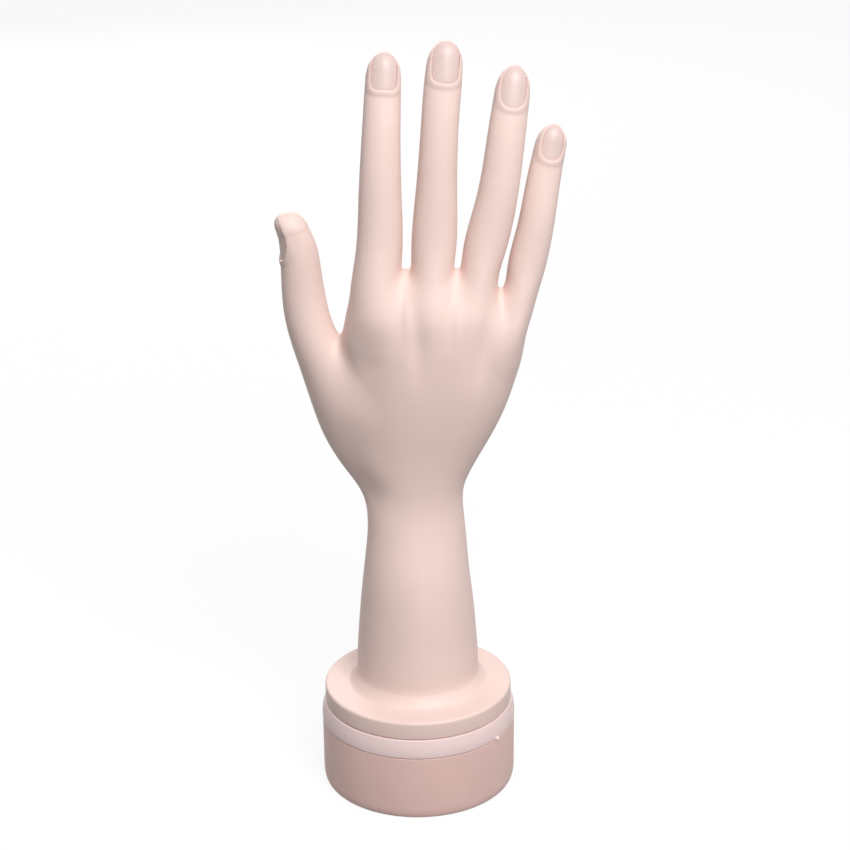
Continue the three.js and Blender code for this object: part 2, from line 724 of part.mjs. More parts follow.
// Palm plate with an arm and an eye for each finger root, and a stem down into the forearm core
const indexRoot = digits[0].joints[0].place;
const littleRoot = digits[3].joints[0].place;
function palmPlate(grow) {
  const half = plateFootWidth / 2 + grow;
  const outerEdge = littleRoot.x - plateInset + grow;
  const outerCorner = littleRoot.z - plateDrop;
  const outline = new THREE.Shape();
  outline.moveTo(-half, plateFoot - grow);
  outline.lineTo(half, plateFoot - grow);
  outline.lineTo(outerEdge, outerCorner);
  outline.lineTo(outerEdge, outerCorner + plateShoulder + grow);
  outline.lineTo(indexRoot.x - plateOverhang - grow, indexRoot.z - plateDrop + grow);
  outline.closePath();
  const thick = plateThickness + 2 * grow;
  const sheet = new THREE.ExtrudeGeometry(outline, { depth: thick, bevelEnabled: false });
  const stand = new THREE.Matrix4().makeRotationX(Math.PI / 2);
  stand.setPosition(0, plateDepthPlace + thick / 2, 0);
  const arms = digits.map((digit) => eyeLink(digit.joints[0].frame, digit.armLength, grow));
  const armEnd = point(0, 0, thumbStrutLap - thumbArm).applyMatrix4(thumbDigit.joints[0].frame);
  const strutFoot = point(overrun - plateFootWidth / 2, plateDepthPlace, plateFoot + thumbStrutRise);
  arms.push(strut(strutFoot, armEnd, PALMWARD, 0, grow));
  const stem = uprightCylinder(stemRadius + grow, stemBottom - grow, plateFoot + stemLap, boltSteps);
  return union([solid(sheet, stand), stem, ...arms]);
}
addPiece("palm_plate", palmPlate(0), linkNylon);

// Sleeves, bones, pins and nails of each digit
const rootForms = [];
const rootRounds = [];
for (const digit of digits) {
  const whole = loft(fingerRings(digit));
  const [root, ...later] = digit.joints;
  rootForms.push(whole.subtract(beyond(root, knuckleGap)));
  const round = new THREE.CylinderGeometry(
    root.knuckleRadius + knuckleGap,
    root.knuckleRadius + knuckleGap,
    digit.rootWidth + 2 * knuckleGap,
    roundSteps,
  );
  round.rotateZ(Math.PI / 2);
  rootRounds.push(solid(round, root.frame));

  const cover = loft(fingerRings(digit, nailProud));
  addPiece(digit.name + "_nail", nailPrism(digit, 0).intersect(cover), nailPlastic);

  digit.segments.forEach((segment, i) => {
    const joint = digit.joints[i];
    const next = digit.joints[i + 1];
    const endPlace = digit.tip.clone().addScaledVector(digit.tipWay, -boneTipCover);
    const shank = (grow) => {
      if (!next) return strut(joint.place, endPlace, palmwardOf(joint), shankStart, grow);
      return eyeLink(next.frame, joint.place.distanceTo(next.place) - shankStart + grow, grow);
    };
    let form = whole.intersect(beyond(joint));
    if (next) form = form.subtract(beyond(next, knuckleGap));
    form = form.subtract(knuckleRoom(joint)).subtract(shank(seatGap));
    if (!next) form = form.subtract(nailPrism(digit, seatGap));
    addPiece(`${digit.name}_${segment}_sleeve`, form, vinyl);
    addPiece(`${digit.name}_${segment}_bone`, fork(joint.frame).add(shank(0)), linkNylon);
    const pin = sidePlate(joint.frame, disc(pinRadius), hingeWidth);
    addPiece(`${digit.name}_${joint.name}_pin`, pin, steel);
  });
}

// Palm skin
function palmRing(middle, level, halfWidth, halfDepth) {
  return ovalRing(middle, level, PALMWARD, halfWidth, halfDepth, palmPoints);
}
const palmRings = [
  palmRing(point(0, 0, wristHeight + seatGap / 2), ACROSS, wristHalfWidth, wristHalfDepth),
];
for (const { rise, thumbSide, littleSide, back, front } of palmSections) {
  const middle = point((littleSide - thumbSide) / 2, (front - back) / 2, wristHeight + rise);
  palmRings.push(palmRing(middle, ACROSS, (littleSide + thumbSide) / 2, (front + back) / 2));
}
const { thumbSide, littleSide, back, front } = palmSections.at(-1);
const tilt = THREE.MathUtils.degToRad(palmTopTilt);
palmRings.push(
  palmRing(
    point((littleSide - thumbSide) / 2, (front - back) / 2, wristHeight + palmTopRise),
    new THREE.Vector3(Math.cos(tilt), 0, -Math.sin(tilt)),
    (littleSide + thumbSide) / 2 - palmTopDraw,
    (front + back) / 2 - palmTopDraw,
  ),
);
addPiece(
  "palm_skin",
  union([loft(palmRings), ...rootForms])
    .subtract(union(rootRounds))
    .subtract(palmPlate(seatGap)),
  vinyl,
);

export default hand;
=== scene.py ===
"""A soft jointed display hand on a weighted turning foot, seen from its back."""

import json
import math

import bmesh
import bpy
import numpy as np
from mathutils import Matrix, Vector


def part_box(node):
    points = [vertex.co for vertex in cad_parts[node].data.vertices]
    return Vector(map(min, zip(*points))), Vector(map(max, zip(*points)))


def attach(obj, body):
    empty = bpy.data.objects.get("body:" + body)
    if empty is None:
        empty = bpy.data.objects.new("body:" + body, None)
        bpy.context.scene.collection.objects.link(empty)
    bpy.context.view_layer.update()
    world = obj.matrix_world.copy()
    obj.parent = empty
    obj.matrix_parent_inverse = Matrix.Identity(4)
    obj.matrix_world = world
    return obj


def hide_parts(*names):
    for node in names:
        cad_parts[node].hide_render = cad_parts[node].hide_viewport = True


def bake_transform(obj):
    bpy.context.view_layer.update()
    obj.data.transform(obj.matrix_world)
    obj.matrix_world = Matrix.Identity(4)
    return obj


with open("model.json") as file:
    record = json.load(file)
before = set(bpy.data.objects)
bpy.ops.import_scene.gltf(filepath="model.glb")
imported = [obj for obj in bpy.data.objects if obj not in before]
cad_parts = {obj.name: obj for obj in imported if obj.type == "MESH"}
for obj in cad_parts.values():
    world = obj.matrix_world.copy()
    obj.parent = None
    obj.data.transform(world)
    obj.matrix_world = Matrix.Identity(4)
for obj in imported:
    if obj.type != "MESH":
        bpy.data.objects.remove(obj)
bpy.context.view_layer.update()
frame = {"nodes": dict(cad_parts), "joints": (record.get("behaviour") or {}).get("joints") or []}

# Camera: a long lens a little above the hand, aimed down at it, with the small lean of the picture.
# It stands where the ellipses of the foot and the heights along the hand fall as they do there.
camera_place = (0.0041, -0.800, 0.4698)
camera_down = math.radians(21.32)
camera_lean = math.radians(-0.64)
lens_data = bpy.data.cameras.new("front_lens")
lens_data.sensor_width = 36
lens_data.lens = 90.75
camera = bpy.data.objects.new("front_camera", lens_data)
bpy.context.collection.objects.link(camera)
camera.matrix_world = (
    Matrix.Translation(camera_place)
    @ Matrix.Rotation(math.pi / 2 - camera_down, 4, "X")
    @ Matrix.Rotation(camera_lean, 4, "Z")
)
bpy.context.scene.camera = camera

# Foot pad: a flat disc of dark rubber pressed into the open underside of the drum.
# It stands a little below the drum, so the drum never touches the table, and a fine ring is moulded in it.
mm = 0.001
turn_steps = 192
pad_edge = 0.4


def turned_normals(outline, round_from=math.radians(40)):
    """For each stretch of an outline, the way its two ends face.
    Corners sharper than round_from stay sharp."""
    ways = []
    for (r0, z0), (r1, z1) in zip(outline, outline[1:]):
        length = math.hypot(r1 - r0, z1 - z0) or 1
        ways.append(((z1 - z0) / length, -(r1 - r0) / length))
    pairs = []
    for i, way in enumerate(ways):
        ends = []
        for other in (ways[i - 1] if i else None, ways[i + 1] if i + 1 < len(ways) else None):
            if other and way[0] * other[0] + way[1] * other[1] > math.cos(round_from):
                both = (way[0] + other[0], way[1] + other[1])
                size = math.hypot(*both)
                ends.append((both[0] / size, both[1] / size))
            else:
                ends.append(way)
        pairs.append(ends)
    return pairs


def turned(name, outline, steps=turn_steps):
    """A solid of revolution from (radius, height) points in mm, listed with the solid on their left."""
    points, faces, normals = [], [], []
    rows = []
    for radius, height in outline:
        count = 1 if radius == 0 else steps
        rows.append(list(range(len(points), len(points) + count)))
        for i in range(count):
            a = 2 * math.pi * i / steps
            points.append((radius * math.cos(a) * mm, radius * math.sin(a) * mm, height * mm))
    for k, (first, second) in enumerate(turned_normals(outline)):
        low, high = rows[k], rows[k + 1]
        for i in range(steps):
            j = (i + 1) % steps
            face = [(low, i, first), (low, j, first), (high, j, second), (high, i, second)]
            if len(low) == 1:
                face.pop(1)
            elif len(high) == 1:
                face.pop(3)
            corners = [row[step % len(row)] for row, step, _ in face]
            faces.append(corners)
            for row, step, way in face:
                a = 2 * math.pi * step / steps
                normals.append((way[0] * math.cos(a), way[0] * math.sin(a), way[1]))
    mesh = bpy.data.meshes.new(name)
    mesh.from_pydata(points, [], faces)
    mesh.normals_split_custom_set(normals)
    piece = bpy.data.objects.new(name, mesh)
    bpy.context.collection.objects.link(piece)
    return piece


def rounded(radius, height, edge, start, end, steps=6):
    """Points of a rounded edge: an arc about (radius, height), from start to end in degrees."""
    angles = [math.radians(start + (end - start) * i / steps) for i in range(steps + 1)]
    return [(radius + edge * math.cos(a), height + edge * math.sin(a)) for a in angles]


def moulded(name, colour, roughness, mottle=0.04, mottle_size=18, grain=0.02, grain_size=0.5, gloss=0.5):
    """A moulded surface: soft clouds in its colour, a little unevenness in its shine and a fine grain.
    Sizes are in mm; mottle is the share the colour varies by, and grain the height of the grain in mm."""
    material = bpy.data.materials.new(name)
    material.use_nodes = True
    nodes, links = material.node_tree.nodes, material.node_tree.links
    shader = nodes["Principled BSDF"]
    shader.inputs["Specular IOR Level"].default_value = gloss
    place = nodes.new("ShaderNodeTexCoord")
    low, high = 0.3, 0.7  # nearly all of the noise lies between these
    shine_spread = 0.05

    def clouds(size, detail):
        noise = nodes.new("ShaderNodeTexNoise")
        noise.inputs["Scale"].default_value = 1000 / size
        noise.inputs["Detail"].default_value = detail
        links.new(place.outputs["Object"], noise.inputs["Vector"])
        return noise.outputs["Fac"]

    tint = nodes.new("ShaderNodeValToRGB")
    tint.color_ramp.elements[0].position = low
    tint.color_ramp.elements[1].position = high
    tint.color_ramp.elements[0].color = [*[c * (1 - mottle) for c in colour], 1]
    tint.color_ramp.elements[1].color = [*[min(1, c * (1 + mottle * 0.6)) for c in colour], 1]
    links.new(clouds(mottle_size, 3), tint.inputs["Fac"])
    links.new(tint.outputs["Color"], shader.inputs["Base Color"])
    shine = nodes.new("ShaderNodeMapRange")
    shine.inputs["From Min"].default_value = low
    shine.inputs["From Max"].default_value = high
    shine.inputs["To Min"].default_value = roughness - shine_spread
    shine.inputs["To Max"].default_value = roughness + shine_spread
    links.new(clouds(mottle_size / 3, 2), shine.inputs["Value"])
    links.new(shine.outputs["Result"], shader.inputs["Roughness"])
    bump = nodes.new("ShaderNodeBump")
    bump.inputs["Distance"].default_value = grain * mm
    bump.inputs["Strength"].default_value = 1
    links.new(clouds(grain_size, 2), bump.inputs["Height"])
    links.new(bump.outputs["Normal"], shader.inputs["Normal"])
    return material


def finished(piece, material):
    piece.data.materials.clear()
    piece.data.materials.append(material)


pad_rubber = moulded("pad_rubber", (0.05, 0.045, 0.04), 0.75, grain=0.05, grain_size=0.8)
pad_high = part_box("foot_pad")[1] / mm
pad_radius = pad_high.x
foot_pad = turned(
    "foot_pad_rubber",
    [(0, 0.3), (20, 0.3), (20.4, 0)]
    + [(pad_radius - 6.4, 0), (pad_radius - 6, 0.3), (pad_radius - 4, 0.3), (pad_radius - 3.6, 0)]
    + rounded(pad_radius - pad_edge, pad_edge, pad_edge, -90, 0)
    + [(pad_radius, pad_high.z), (0, pad_high.z)],
)
finished(foot_pad, pad_rubber)
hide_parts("foot_pad")
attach(foot_pad, "foot")

# Drum: the hollow foot, moulded in the same soft vinyl as the hand but a shade darker.
# Its side runs straight down to a generous rounded lower edge, and its top plate carries the collar.
drum_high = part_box("base_drum")[1] / mm
drum_radius, drum_top = drum_high.x, drum_high.z
drum_wall = 2.6
drum_plate = 3
drum_side = drum_radius + 0.35  # a hair wider than the plain solid
drum_foot = 0.15  # the pad lifts it this little off the table
drum_inset = 1.1  # its lower edge is rounded in by this much
drum_round = 4.5  # and over this height
drum_top_edge = 0.3
bolt_hole = 3.3
foot_vinyl = moulded("foot_vinyl", (0.74, 0.505, 0.46), 0.5, mottle=0.035, grain=0.012)
drum = turned(
    "drum_shell",
    [(drum_radius - drum_wall, drum_foot)]
    + [
        (drum_side - drum_inset * (1 - math.sin(a)), drum_foot + drum_round * (1 - math.cos(a)))
        for a in (math.radians(10 * i) for i in range(10))
    ]
    + rounded(drum_side - drum_top_edge, drum_top - drum_top_edge, drum_top_edge, 0, 90)
    + [(bolt_hole, drum_top), (bolt_hole, drum_top - drum_plate)]
    + [(drum_radius - drum_wall, drum_top - drum_plate), (drum_radius - drum_wall, drum_foot)],
)
finished(drum, foot_vinyl)
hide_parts("base_drum")
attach(drum, "foot")

# Weight: a cast iron ring inside the drum, which keeps the hand from tipping over.
# It is a rough casting, hidden by the drum and the foot pad.
cast_iron = moulded("cast_iron", (0.16, 0.16, 0.165), 0.7, mottle=0.15, grain=0.15, grain_size=1.5)
cast_iron.node_tree.nodes["Principled BSDF"].inputs["Metallic"].default_value = 0.8
finished(frame["nodes"]["base_weight"], cast_iron)

# Collar: the pale ring the hand turns on, a separate moulding snapped over the top of the drum.
# It narrows upwards from the drum to a crisp top edge that catches the light.
# The mould has left one small pointed nib of flash on its lower edge, at the front right.
collar_low, collar_high = (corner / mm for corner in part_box("turning_collar"))
seam_drop = 0.5  # the line between collar and flange lies a little low on the real one
collar_bottom, collar_top = collar_low.z, collar_high.z - seam_drop
collar_foot_radius = drum_side + 0.08
collar_top_radius = 39.4
collar_edge = 0.35
collar_vinyl = moulded("collar_vinyl", (0.83, 0.65, 0.63), 0.45, mottle=0.02, grain=0.008)
collar = turned(
    "collar_ring",
    [(bolt_hole, collar_bottom)]
    + rounded(collar_foot_radius - 0.3, collar_bottom + 0.3, 0.3, -90, 0)
    + [(collar_foot_radius, collar_bottom + 2), (collar_foot_radius - 0.25, collar_bottom + 4.5)]
    + rounded(collar_top_radius - collar_edge, collar_top - collar_edge, collar_edge, 10, 90)
    + [(bolt_hole, collar_top), (bolt_hole, collar_bottom)],
)
finished(collar, collar_vinyl)
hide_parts("turning_collar")
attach(collar, "foot")

nib_turn = math.radians(-37.2)
nib_size = (3.2, 1.3, 2.6)  # along the edge, out from it, and from its root down to its point
nib_out = Vector((math.cos(nib_turn), math.sin(nib_turn), 0))
nib_along = Vector((-math.sin(nib_turn), math.cos(nib_turn), 0))
nib_root = nib_out * (collar_foot_radius - 0.1) + Vector((0, 0, collar_bottom + 0.9))
nib_points = [
    nib_root + nib_along * (nib_size[0] / 2),
    nib_root - nib_along * (nib_size[0] / 2),
    nib_root - Vector((0, 0, nib_size[2])) - nib_along * 0.4,
    nib_root + nib_out * nib_size[1] - Vector((0, 0, nib_size[2] * 0.3)),
]
nib_mesh = bpy.data.meshes.new("collar_nib")
nib_mesh.from_pydata([p * mm for p in nib_points], [], [(0, 1, 3), (1, 2, 3), (2, 0, 3), (0, 2, 1)])
collar_nib = bpy.data.objects.new("collar_nib", nib_mesh)
bpy.context.collection.objects.link(collar_nib)
finished(collar_nib, collar_vinyl)
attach(collar_nib, "foot")

# Centre bolt and nut: plain turned steel, hidden in the foot.
# They hold the forearm's core down on the foot, and the hand turns about the bolt.
turned_steel = moulded("turned_steel", (0.56, 0.57, 0.59), 0.3, mottle=0.05, grain=0.01, grain_size=0.3)
turned_steel.node_tree.nodes["Principled BSDF"].inputs["Metallic"].default_value = 1
for part in ("centre_bolt", "centre_nut"):
    finished(frame["nodes"][part], turned_steel)

# Armature: a moulded nylon core and palm plate, and a chain of nylon bones on steel pins in every finger.
# All of it is inside the soft skin, and it holds each finger where it is bent.
link_nylon = moulded("link_nylon", (0.33, 0.33, 0.31), 0.5, mottle=0.05, grain=0.02)
digit_links = {
    "index": ("proximal", "middle", "distal"),
    "middle": ("proximal", "middle", "distal"),
    "ring": ("proximal", "middle", "distal"),
    "little": ("proximal", "middle", "distal"),
    "thumb": ("proximal", "distal"),
}
joint_names = {3: ("root", "middle", "end"), 2: ("root", "end")}
for part in ("forearm_core", "palm_plate"):
    finished(frame["nodes"][part], link_nylon)
for digit, links in digit_links.items():
    for link, joint in zip(links, joint_names[len(links)]):
        finished(frame["nodes"][f"{digit}_{link}_bone"], link_nylon)
        finished(frame["nodes"][f"{digit}_{joint}_pin"], turned_steel)

# Skin: soft vinyl poured over the armature in one piece, satin, with no creases but the palm's folds.
# Here it is a field of distances in mm, below zero inside: a tube for each digit, a palm and a forearm that
# flow into each other. The pieces further down are meshed from it, so they meet without a seam.
hinge = {joint["name"]: np.array(joint["pos_m"]) / mm for joint in frame["joints"]}
hinge_offset = 1.5  # the hinges lie this far on the palm side of the middle of a finger
palmward = np.array([0.0, 1.0, 0.0])


def smooth_line(places, values):
    """A curve through the values at those places, without corners."""
    x, y = np.array(places, float), np.array(values, float)
    step = np.diff(x)
    slope = np.diff(y) / step
    system = np.eye(len(x))
    pull = np.zeros(len(x))
    for i in range(1, len(x) - 1):
        system[i, i - 1 : i + 2] = step[i - 1], 2 * (step[i - 1] + step[i]), step[i]
        pull[i] = 6 * (slope[i] - slope[i - 1])
    bend = np.linalg.solve(system, pull)

    def at(place):
        place = np.clip(place, x[0], x[-1])
        i = np.clip(np.searchsorted(x, place) - 1, 0, len(x) - 2)
        a = (x[i + 1] - place) / step[i]
        b = 1 - a
        lift = (a**3 - a) * bend[i] + (b**3 - b) * bend[i + 1]
        return a * y[i] + b * y[i + 1] + lift * step[i] ** 2 / 6

    return at


def unit(v):
    return v / np.linalg.norm(v)


def join(a, b, reach):
    """The nearer of two surfaces, with a soft hollow of that reach where they meet."""
    near = np.maximum(reach - np.abs(a - b), 0) / reach
    return np.minimum(a, b) - near * near * reach / 4


class Digit:
    """An oval tube with a round tip along a curved middle line. sizes holds rows of: place along the digit,
    then how far it reaches to the thumb's side, to the other side, to the back and to the palm side."""

    def __init__(self, middles, sizes, palm_side, round_tip):
        self.base, self.tip = middles[0], middles[-1]
        self.way = unit(self.tip - self.base)
        self.across = unit(np.cross(palm_side, self.way))
        self.depth = np.cross(self.way, self.across)
        along = [(p - self.base) @ self.way for p in middles]
        self.length = along[-1]
        line = middles[:1] + middles
        places = [-hidden_end] + along
        self.side = smooth_line(places, [(p - self.base) @ self.across for p in line])
        self.fore = smooth_line(places, [(p - self.base) @ self.depth for p in line])
        place, *reaches = zip(*sizes)
        self.near, self.far, self.back, self.palm = (smooth_line(place, reach) for reach in reaches)
        self.round_tip = round_tip

    def distance(self, points):
        rel = points - self.base
        s = rel @ self.way
        u = rel @ self.across - self.side(s)
        half = np.where(u < 0, self.near(s), self.far(s))
        u = u / half
        v = rel @ self.depth - self.fore(s)
        thick = np.where(v < 0, self.back(s), self.palm(s))
        v = np.abs(v / thick)
        tip = np.maximum(s - self.length + self.round_tip, 0) / self.round_tip
        root = np.maximum(-s, 0) / root_round
        flat = np.where(rel @ self.depth < self.fore(s), tip_flatness, 2)
        end = (v**flat + tip**flat + 1e-12) ** (1 / flat)
        near = np.sqrt(u * u + end * end + root * root)
        pull = (end + 1e-6) ** (2 - flat)
        steep = np.sqrt(
            (u / half) ** 2
            + (v ** (flat - 1) * pull / thick) ** 2
            + (tip ** (flat - 1) * pull / self.round_tip) ** 2
            + (root / root_round) ** 2
        )
        return (near - 1) * near / np.maximum(steep, 1e-6)


root_round = 22  # a digit's hidden end, inside the palm
hidden_end = 40  # its middle line runs on below the digit's start for this far
tip_flatness = 3.2  # 2 rounds the back of a fingertip evenly, more keeps it straight under the nail


def finger(name, drop, tip, round_tip, sizes):
    """A finger's middle line starts drop below its root hinge and runs through its own hinges."""
    through = [hinge[f"{name}_{joint}_bend"] - hinge_offset * palmward for joint in joint_names[3]]
    start = through[0] + unit(through[0] - through[1]) * drop
    return Digit([start] + through + [np.array(tip)], sizes, palmward, round_tip)


digits = {
    "index": finger(
        "index", 24, (-9.9, 9.0, 306.4), 10,
        [
            (-12, 10.8, 11.6, 14, 8), (0, 11.2, 12, 14, 8), (6, 11.2, 11.5, 13, 8.2),
            (13, 10.5, 9.4, 11.5, 8.6), (24, 9.1, 9, 9.2, 8.4), (45.5, 8.3, 8.3, 7.4, 7.8),
            (75, 7.3, 7.2, 5.9, 6.7), (84, 7, 7, 5.4, 6.3), (93, 6.6, 6.6, 5, 5.8),
        ],
    ),
    "middle": finger(
        "middle", 24, (13.9, 8.6, 310.5), 9.5,
        [
            (-12, 11.4, 10.6, 14, 8), (0, 11.6, 10.8, 14.2, 8), (6, 11, 10.2, 13.2, 8.4),
            (13, 9.2, 8.4, 11.5, 8.6), (24, 8.9, 8.4, 9.2, 8.4), (47, 8.2, 7.8, 7.4, 7.7),
            (78, 7.3, 7.1, 5.9, 6.6), (89, 7.2, 7.1, 5.4, 6.2), (97, 6.8, 6.7, 5, 5.8),
        ],
    ),
    "ring": finger(
        "ring", 24, (40.2, 9.6, 300.6), 11.5,
        [
            (-12, 10.4, 10.4, 13.4, 7.8), (0, 10.4, 10.4, 13.4, 7.8), (5, 10, 9.8, 12.5, 8.2),
            (12, 8.4, 7.7, 11, 8.4), (24, 8.8, 7.5, 8.7, 8), (45, 8.2, 7.6, 7, 7.3),
            (69, 7.4, 7.2, 5.8, 6.4), (80, 7, 7, 5.2, 6), (88, 6.7, 6.7, 4.8, 5.6),
        ],
    ),
    "little": finger(
        "little", 22, (55.3, 8.6, 277.8), 9.5,
        [
            (-12, 10, 6, 11.4, 7), (0, 10, 6.2, 11.4, 7), (6, 9.6, 6.6, 10.6, 7.4),
            (12, 7.2, 6.8, 9.6, 7.6), (22, 7.3, 7.2, 7.6, 7.2), (38, 7.4, 6.8, 6.3, 6.6),
            (55, 6.7, 6.5, 5.2, 5.8), (64, 6.3, 6.3, 4.7, 5.4), (71, 6, 6, 4.4, 5),
        ],
    ),
}

# The thumb runs from its heel beside the wrist. Its nail looks sideways, a little towards the back.
thumb_turn = math.radians(16)
thumb_palmward = np.array([math.cos(thumb_turn), math.sin(thumb_turn), 0])
thumb_middles = [
    (-8, 2, 116), (-13.4, 4.6, 130), (-19.2, 6.2, 141), (-26, 7, 154),
    (-31, 7, 168), (-36.2, 6.6, 184.5), (-40.9, 6.4, 200), (-42.9, 6.2, 209.5),
    (-43.9, 6, 219), (-44.7, 5.6, 229), (-46.4, 5, 237), (-49.3, 4.6, 244.9),
]
digits["thumb"] = Digit(
    [np.array(p, float) for p in thumb_middles],
    [
        (0, 6, 4.5, 7, 7), (15, 7, 5.6, 8.4, 9), (27, 8.4, 7.6, 10.2, 10), (41, 10, 10.2, 10.9, 10.6),
        (56, 10.4, 12, 10.8, 10), (73, 9.4, 11.6, 10.3, 8.6), (90, 8.6, 9.4, 9.7, 8.2),
        (100, 8.3, 8.3, 9, 8.5), (109, 8.1, 8.1, 8.3, 8.3), (119, 7.6, 7.6, 7.5, 7.5),
        (127, 6.7, 6.7, 6.4, 6.2),
    ],
    thumb_palmward,
    8.2,
)

# Forearm and palm by height: how far they reach to the thumb's side, to the little finger's side, to the
# back and to the palm side.
arm_and_palm = [
    (46, 25.2, 25.2, 25.2, 25.2),
    (56, 25.1, 25.1, 25.1, 25.1),
    (66, 24.5, 24.5, 24.5, 24.5),
    (82, 23.1, 23.1, 23.1, 23.1),
    (98, 21.3, 21.3, 20.3, 20.3),
    (112, 19.8, 20.2, 16.4, 17.2),
    (122, 18.9, 19.3, 14.4, 15.9),
    (131, 17.8, 19.6, 14.0, 15.5),
    (141, 20.6, 23.6, 14.6, 15.2),
    (155, 23.0, 31.2, 16.4, 14.2),
    (168, 25.0, 37.0, 18.2, 13.0),
    (184, 26.9, 41.4, 19.5, 11.6),
    (200, 28.2, 43.2, 19.6, 10.6),
    (214, 28.2, 43.8, 18.8, 9.6),
]
levels, *reaches = zip(*arm_and_palm)
thumb_side, little_side, back_side, palm_side = (smooth_line(levels, reach) for reach in reaches)
squareness = smooth_line((46, 120, 160, 214), (2, 2, 2.3, 2.5))  # 2 is an oval, more is squarer
palm_top = 190
palm_top_round = 31
palm_fall_from = 12  # past this far across, the palm's top falls away towards the little finger
palm_fall_radius = 60


def arm_and_palm_distance(points):
    x, y, z = points.T
    left, right, back, palm = (line(z) for line in (thumb_side, little_side, back_side, palm_side))
    half = (left + right) / 2
    thick = np.where(y < 0, back, palm)
    n = squareness(z)
    u = np.abs(x - (right - left) / 2) / half
    v = np.abs(y) / thick
    fall = np.maximum(x - palm_fall_from, 0) ** 2 / (2 * palm_fall_radius)
    w = np.maximum(z - palm_top + fall, 0) / palm_top_round
    near = (u**n + v**n + w**n) ** (1 / n)
    steep = np.sqrt(
        (u ** (n - 1) / half) ** 2
        + (v ** (n - 1) / thick) ** 2
        + (w ** (n - 1) / palm_top_round) ** 2
    )
    return (near - 1) * near ** (n - 1) / np.maximum(steep, 1e-6)


finger_web = 2.2  # how softly the fingers flow into each other
palm_flow = 5  # and into the palm
thumb_flow = smooth_line((120, 145, 165, 180, 192, 205), (6, 13, 18, 14, 8, 7))  # less towards the web

# Webs: a soft saddle of skin between neighbouring fingers: place across, and height of its top.
webs = [(-2.8, 222.4), (17.2, 222.2), (33.4, 214.3)]
web_size = np.array([3.4, 8, 8])
web_depth = -1  # their middles lie this far from the hand's own, towards the palm

# The back of the hand is modelled very softly: a swelling over each knuckle, a hollow beside the first one,
# the ridge that each web runs down into, and a valley beside each tendon. The palm has its two balls, the
# hollow between them, a pad along the fingers and its main folds.
# Each row is: from (across, height) to (across, height), half width, how high in the middle of the stretch.
back_relief = [
    ((-13, 220), (-12, 196), 7, 0.2),
    ((7, 220), (6.5, 196), 7, 0.2),
    ((26, 218), (24, 194), 6, 0.2),
    ((40, 210), (37, 188), 5.5, 0.3),
    ((-17, 222), (-18, 160), 7, -1.5),
    ((-2.8, 224), (-2.2, 194), 1.8, 0.5),
    ((17.2, 224), (16.6, 192), 1.8, 0.5),
    ((33.4, 218), (31.5, 184), 1.8, 0.5),
    ((2.2, 222), (1.4, 172), 3.4, -0.8),
    ((24, 220), (20, 172), 3.5, -0.5),
    ((29, 217), (25, 174), 2.8, -1.4),
]
palm_relief = [
    ((-9, 128), (-26, 184), 9, 1.8),
    ((17, 130), (30, 186), 9, 1.6),
    ((2, 150), (7, 204), 9, -1.6),
    ((-20, 207), (42, 200), 5, 1),
    ((-27, 203), (-8, 170), 1.7, -0.7),
    ((-14, 184), (-8, 142), 1.7, -0.7),
    ((-28, 200), (26, 172), 1.7, -0.7),
    ((44, 192), (-4, 206), 1.7, -0.7),
]
relief_levels = (120, 235)  # it lies between these heights
relief_depth = 8  # it has its full height from this far off the hand's middle


def relief(points, stretches, towards):
    """How far the back (towards -1) or the palm side (towards 1) of the hand is raised there."""
    total = np.zeros(len(points))
    lowest, highest = relief_levels
    near = (points[:, 1] * towards > 0) & (points[:, 2] > lowest) & (points[:, 2] < highest)
    x, y, z = points[near].T
    side = np.clip(y * towards / relief_depth, 0, 1)
    side = side * side * (3 - 2 * side)
    for (x0, z0), (x1, z1), width, high in stretches:
        dx, dz = x1 - x0, z1 - z0
        along = np.clip(((x - x0) * dx + (z - z0) * dz) / (dx**2 + dz**2), 0, 1)
        away = (x - x0 - along * dx) ** 2 + (z - z0 - along * dz) ** 2
        total[near] += high * side * (4 * along * (1 - along)) ** 2 * np.exp(-away / width**2)
    return total


def skin(points):
    """How far points are outside the skin."""
    reach = {name: digit.distance(points) for name, digit in digits.items()}
    near_thumb = join(reach["index"], reach["middle"], finger_web)
    far_side = join(reach["ring"], reach["little"], finger_web)
    fingers = join(near_thumb, far_side, finger_web)
    high = points[:, 2] > 190
    for across, top in webs:
        web = (points[high] - (across, web_depth, top - web_size[2])) / web_size
        near = np.sqrt((web * web).sum(1))
        steep = np.sqrt(((web / web_size) ** 2).sum(1))
        fingers[high] = join(fingers[high], (near - 1) * near / np.maximum(steep, 1e-6), finger_web)
    body = join(arm_and_palm_distance(points), reach["thumb"], thumb_flow(points[:, 2]))
    return join(body, fingers, palm_flow) - relief(points, back_relief, -1) - relief(points, palm_relief, 1)


